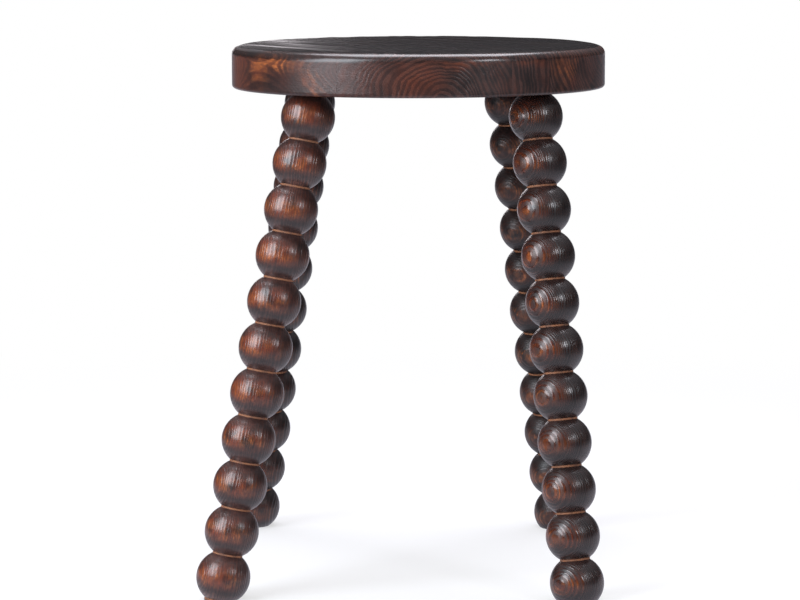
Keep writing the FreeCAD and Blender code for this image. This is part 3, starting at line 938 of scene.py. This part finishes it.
class STOOL_OT_glue_up_seat(bpy.types.Operator):
    """Shape the seat, part it into its boards and brush them"""

    bl_idname = "stool.glue_up_seat"
    bl_label = "Glue up the seat"

    def execute(self, context):
        scene = context.scene
        sizes, finish = scene.stool_sizes, scene.stool_finish
        points = seat_profile(sizes, fineness(RIM_STEP))
        values = {"Steps Round": fineness(SEAT_ROUND), "Profile Points": len(points)}
        turned = shape_with(profile_mesh("seat_profile", points), "Lathe", values)
        stands = seat_frame(sizes)
        for node, board in BOARDS.items():
            shape = bmesh.new()
            shape.from_mesh(turned)
            rings = [edge for edge in shape.edges if edge.is_boundary]
            bmesh.ops.holes_fill(shape, edges=rings, sides=0)
            for cut, way in zip(board["across"], (-1, 1)):
                if cut is not None:
                    trim(shape, (cut * MM, 0, 0), (way, 0, 0))
            self.part_flats(shape, sizes)
            shape.transform(stands)
            across, up = board["pith"]
            log_frame = stands @ Matrix.Translation((across * MM, 0, up * MM))
            log_frame = log_frame @ Matrix.Rotation(math.pi / 2, 4, "X")
            depth = finish.seat_relief * (PLAIN_BOARD_RELIEF if "plain_to" in board else 1.0)
            wood = board_wood(finish, sizes, node)
            top = {
                "Scraping": finish.scraping,
                "Edge Wear": finish.edge_wear,
                "Rim Radius": sizes.seat_radius / MM,
                "Top Height": sizes.seat_thickness / MM,
                "Face Wood": top_wood(finish, node),
                "Face Height": sizes.height - sizes.crown_drop,
            }
            mesh = brush(stow_shape(shape, f"{node}_shape"), stands, log_frame, board, depth, wood, top)
            show_piece(f"board_{node}", mesh, node)
        return {"FINISHED"}

    def part_flats(self, shape, sizes):
        """Part the flat of the top and of the underside into strips along the grain, to carry the relief."""
        for height, strips in ((sizes.seat_thickness, TOP_STRIPS), (0, UNDERSIDE_STRIPS)):
            flats = [
                face
                for face in shape.faces
                if all(abs(corner.co.z - height) < TOUCH for corner in face.verts)
            ]
            for way, step in zip(((1, 0, 0), (0, 1, 0)), strips):
                flats = self.part_into_strips(shape, flats, Vector(way), step, sizes.seat_radius)

    def part_into_strips(self, shape, flats, way, step, radius):
        """Cut faces at every step in one direction, and give their parts."""
        reach = round(radius / step)
        places = [corner.co.dot(way) for face in flats for corner in face.verts]
        low, high = min(places) + NARROWEST_STRIP, max(places) - NARROWEST_STRIP
        edges = {edge for face in flats for edge in face.edges}
        corners = {corner for face in flats for corner in face.verts}
        parts = [*flats, *edges, *corners]
        for place in (number * step for number in range(-reach, reach + 1)):
            if low < place < high:
                cut = bmesh.ops.bisect_plane(shape, geom=parts, plane_co=way * place, plane_no=way)
                parts = cut["geom"]
        return [part for part in parts if isinstance(part, bmesh.types.BMFace)]


class STOOL_OT_plane_pegs(bpy.types.Operator):
    """Give the wedges and dowels their bare wood"""

    bl_idname = "stool.plane_pegs"
    bl_label = "Plane the wedges and dowels"

    def execute(self, context):
        wood = bare_wood(context.scene.stool_finish)
        for node in [f"{leg}_wedge" for leg in LEGS] + ["seam_dowels"]:
            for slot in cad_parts[node].material_slots:
                slot.material = wood
        return {"FINISHED"}


class STOOL_OT_set_stage(bpy.types.Operator):
    """Set the floor, the softboxes, the white room and the camera"""

    bl_idname = "stool.set_stage"
    bl_label = "Set the stage"

    def execute(self, context):
        look = context.scene.stool_stage
        self.lay_floor()
        self.light_room(context.scene, look)
        for name, (start, end, width, tint) in SOFTBOXES.items():
            self.hang_softbox(name, Vector(start), Vector(end), width, tint, getattr(look, f"{name}_power"))
        self.place_camera(context.scene, look)
        context.scene.view_settings.view_transform = "Standard"
        return {"FINISHED"}

    def lay_floor(self):
        """A wide floor that is white to the camera and still takes the stool's shadow, and that shows in the
        stool's reflections as a painted glow.
        """
        mesh = bpy.data.meshes.new("floor")
        corners = [(-1, -1, 0), (1, -1, 0), (1, 1, 0), (-1, 1, 0)]
        mesh.from_pydata([FLOOR_REACH * Vector(corner) for corner in corners], [], [(0, 1, 2, 3)])
        material, graph, surface = start_material("White floor")
        surface.inputs["Roughness"].default_value = 0.9
        surface.inputs["Specular IOR Level"].default_value = 0.0
        seen, glossy = (
            graph.add("ShaderNodeLightPath", output=f"Is {kind} Ray") for kind in ("Camera", "Glossy")
        )
        place = graph.add("ShaderNodeTexCoord", output="Object")
        x, y, _ = graph.split(place)
        away = graph.vector("LENGTH", place, output=1)
        # Less white behind, where more light falls on it
        shade = graph.blend(graph.ease(y, -0.1, 0.15), (0.94, 0.94, 0.95, 1), (0.77, 0.765, 0.79, 1))
        graph.feed(surface.inputs["Base Color"], shade)
        # Painted reflection: to reflected rays the floor is a lilac glow of a set strength, bright only near
        # the stool and straight behind, in place of the lit floor
        aside = graph.calc("ABSOLUTE", x) - y * 0.3
        behind = graph.ease(y, 0.2, 1.2) * graph.ease(aside, 0.1, 0.9, 1.0, 0.0)
        reflection_glow = graph.calc("MAXIMUM", graph.ease(away, 0.4, 1.4, 0.8, 0.2), behind)
        tint = graph.blend(seen, (0.9, 0.88, 1.0, 1), (1, 1, 1, 1))
        strength = graph.between(seen, reflection_glow, 1.0)
        glow = graph.add("ShaderNodeEmission", {"Color": tint, "Strength": strength})
        # The camera sees it white to the horizon, and with the stool's shadow nearby
        surface.inputs["Emission Color"].default_value = (1, 1, 1, 1)
        graph.feed(surface.inputs["Emission Strength"], seen * graph.ease(y, -0.3, 0.1, 0.2, 0.0))
        far = seen * graph.ease(away, 0.5, 1.3, 0.62, 1.0)
        # Reflected rays see only the glow, a painted reflection
        share = graph.calc("ADD", far, glossy, clamp=True)
        paint = Flow(graph, surface.outputs[0])
        both = graph.add("ShaderNodeMixShader", {0: share, 1: paint, 2: glow})
        output = next(node for node in graph.tree.nodes if node.type == "OUTPUT_MATERIAL")
        graph.feed(output.inputs[0], both)
        mesh.materials.append(material)
        link_object("floor", mesh)

    def light_room(self, scene, look):
        """White to the camera, and a plain even light on the stool."""
        world = bpy.data.worlds.new("White room")
        world.use_nodes = True
        world.node_tree.nodes.clear()
        graph = Graph(world.node_tree)
        seen = graph.add("ShaderNodeLightPath", output="Is Camera Ray")
        height = graph.split(graph.add("ShaderNodeTexCoord", output="Generated"))[2]
        ceiling = graph.ease(height, 0.1, 0.95, 0.15 * look.surroundings, look.surroundings)
        strength = graph.between(seen, ceiling, 1.0)
        tint = graph.blend(seen, (0.92, 0.92, 1.0, 1), (1, 1, 1, 1))
        room = graph.add("ShaderNodeBackground", {"Color": tint, "Strength": strength})
        graph.node("ShaderNodeOutputWorld", {0: room})
        scene.world = world

    def hang_softbox(self, name, start, end, width, tint, power):
        """A softbox that runs from one point to another and faces the stool."""
        data = bpy.data.lights.new(name, "AREA")
        data.shape = "RECTANGLE"
        data.size = width
        data.size_y = (end - start).length
        data.energy = power
        data.color = tint
        light = link_object(name, data)
        middle = (start + end) / 2
        up = (end - start).normalized()
        away = middle - AIM
        away = (away - away.dot(up) * up).normalized()
        turn = Matrix((up.cross(away), up, away)).transposed().to_4x4()
        light.matrix_world = Matrix.Translation(middle) @ turn
        light.visible_camera = False

    def place_camera(self, scene, look):
        """The camera of the photograph."""
        data = bpy.data.cameras.new("camera")
        data.lens = look.lens
        data.sensor_width = SENSOR
        camera = link_object("camera", data)
        camera.location = look.camera_place
        level = Euler((math.pi / 2 - look.camera_pitch, 0, 0)).to_matrix().to_4x4()
        camera.rotation_euler = (level @ Matrix.Rotation(look.camera_roll, 4, "Z")).to_euler()
        scene.camera = camera


class STOOL_PT_panel(bpy.types.Panel):
    """The stool's sizes, finish and stage"""

    bl_label = "Bobbin Leg Stool"
    bl_idname = "STOOL_PT_panel"
    bl_space_type = "VIEW_3D"
    bl_region_type = "UI"
    bl_category = "Stool"

    def draw(self, context):
        layout = self.layout
        scene = context.scene
        for group in (scene.stool_sizes, scene.stool_legs, scene.stool_finish, scene.stool_stage):
            box = layout.box()
            for prop in group.__annotations__:
                box.prop(group, prop)
        for operator in OPERATORS:
            layout.operator(operator.bl_idname)


SETTINGS = {
    "stool_sizes": StoolSizes,
    "stool_legs": LegSizes,
    "stool_finish": WoodFinish,
    "stool_stage": StageLook,
}
OPERATORS = (STOOL_OT_turn_legs, STOOL_OT_glue_up_seat, STOOL_OT_plane_pegs, STOOL_OT_set_stage)


def register():
    for item in (*SETTINGS.values(), *OPERATORS, STOOL_PT_panel):
        bpy.utils.register_class(item)
    for name, group in SETTINGS.items():
        setattr(bpy.types.Scene, name, bpy.props.PointerProperty(type=group))


def unregister():
    for name in SETTINGS:
        delattr(bpy.types.Scene, name)
    for item in reversed((*SETTINGS.values(), *OPERATORS, STOOL_PT_panel)):
        bpy.utils.unregister_class(item)


def main():
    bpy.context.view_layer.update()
    register()
    bpy.ops.stool.turn_legs()
    bpy.ops.stool.glue_up_seat()
    bpy.ops.stool.plane_pegs()
    bpy.ops.stool.set_stage()


if __name__ == "__main__":
    main()
